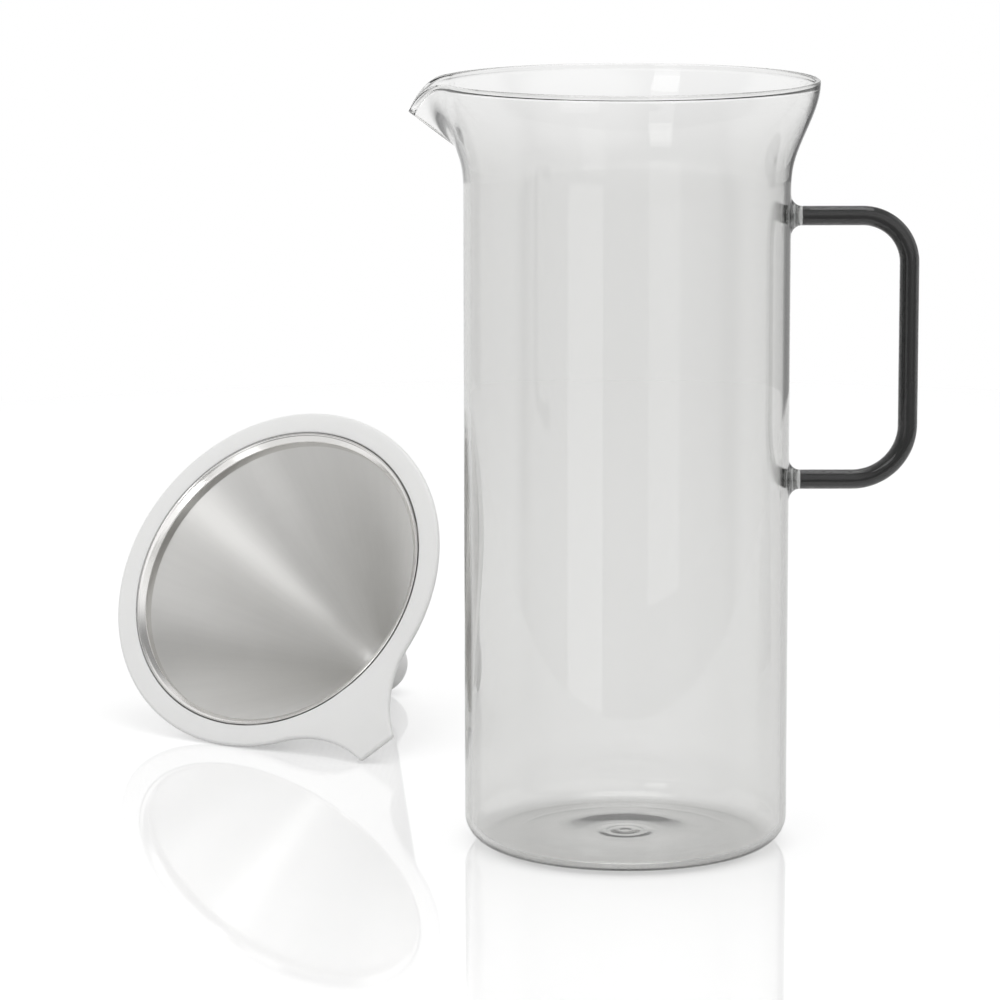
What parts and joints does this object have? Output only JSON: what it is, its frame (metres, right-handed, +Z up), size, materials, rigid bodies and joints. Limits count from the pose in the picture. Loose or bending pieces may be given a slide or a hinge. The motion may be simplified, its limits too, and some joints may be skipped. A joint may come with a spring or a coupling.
{
  "type": "pour-over coffee maker",
  "caption": "Tall smoke-glass carafe with a flared mouth, pulled spout and bent glass handle, and a steel mesh cone filter in a white silicone ring lying beside it.",
  "frame": {"origin": "centre of the carafe's foot ring, on the table", "axes": "+Z up along the carafe's axis, +X towards the handle, -X towards the spout, +Y towards the side where the filter lies"},
  "size_m": [0.261, 0.2846, 0.2368],
  "materials": {
    "smoke_glass": "clear blown glass with a light smoke-grey tint",
    "dark_glass": "drawn rod of dark smoke glass, polished",
    "clear_glass": "flame-worked clear glass",
    "white_silicone": "soft matte moulded silicone",
    "polished_steel": "polished stainless steel",
    "satin_mesh": "fine woven stainless mesh, satin",
    "perforated_steel": "perforated stainless sheet, satin"
  },
  "bodies": {
    "carafe": {"carafe_glass": "smoke_glass", "handle_rod": "dark_glass", "upper_weld": "clear_glass", "lower_weld": "clear_glass"},
    "filter_holder": {"filter_ring": "white_silicone"},
    "filter_cone": {"rim_collar": "polished_steel", "mesh_cone": "satin_mesh", "support_cone": "perforated_steel", "tip_cap": "white_silicone"}
  },
  "joints": [
    {"name": "filter_lift", "type": "slide", "parent": "carafe", "child": "filter_holder", "axis": [0, 0, 1], "range_m": [0, 0.25]},
    {"name": "cone_pull", "type": "slide", "parent": "filter_holder", "child": "filter_cone", "axis": [-0.4232, -0.7301, 0.5366], "range_m": [0, 0.09]}
  ]
}
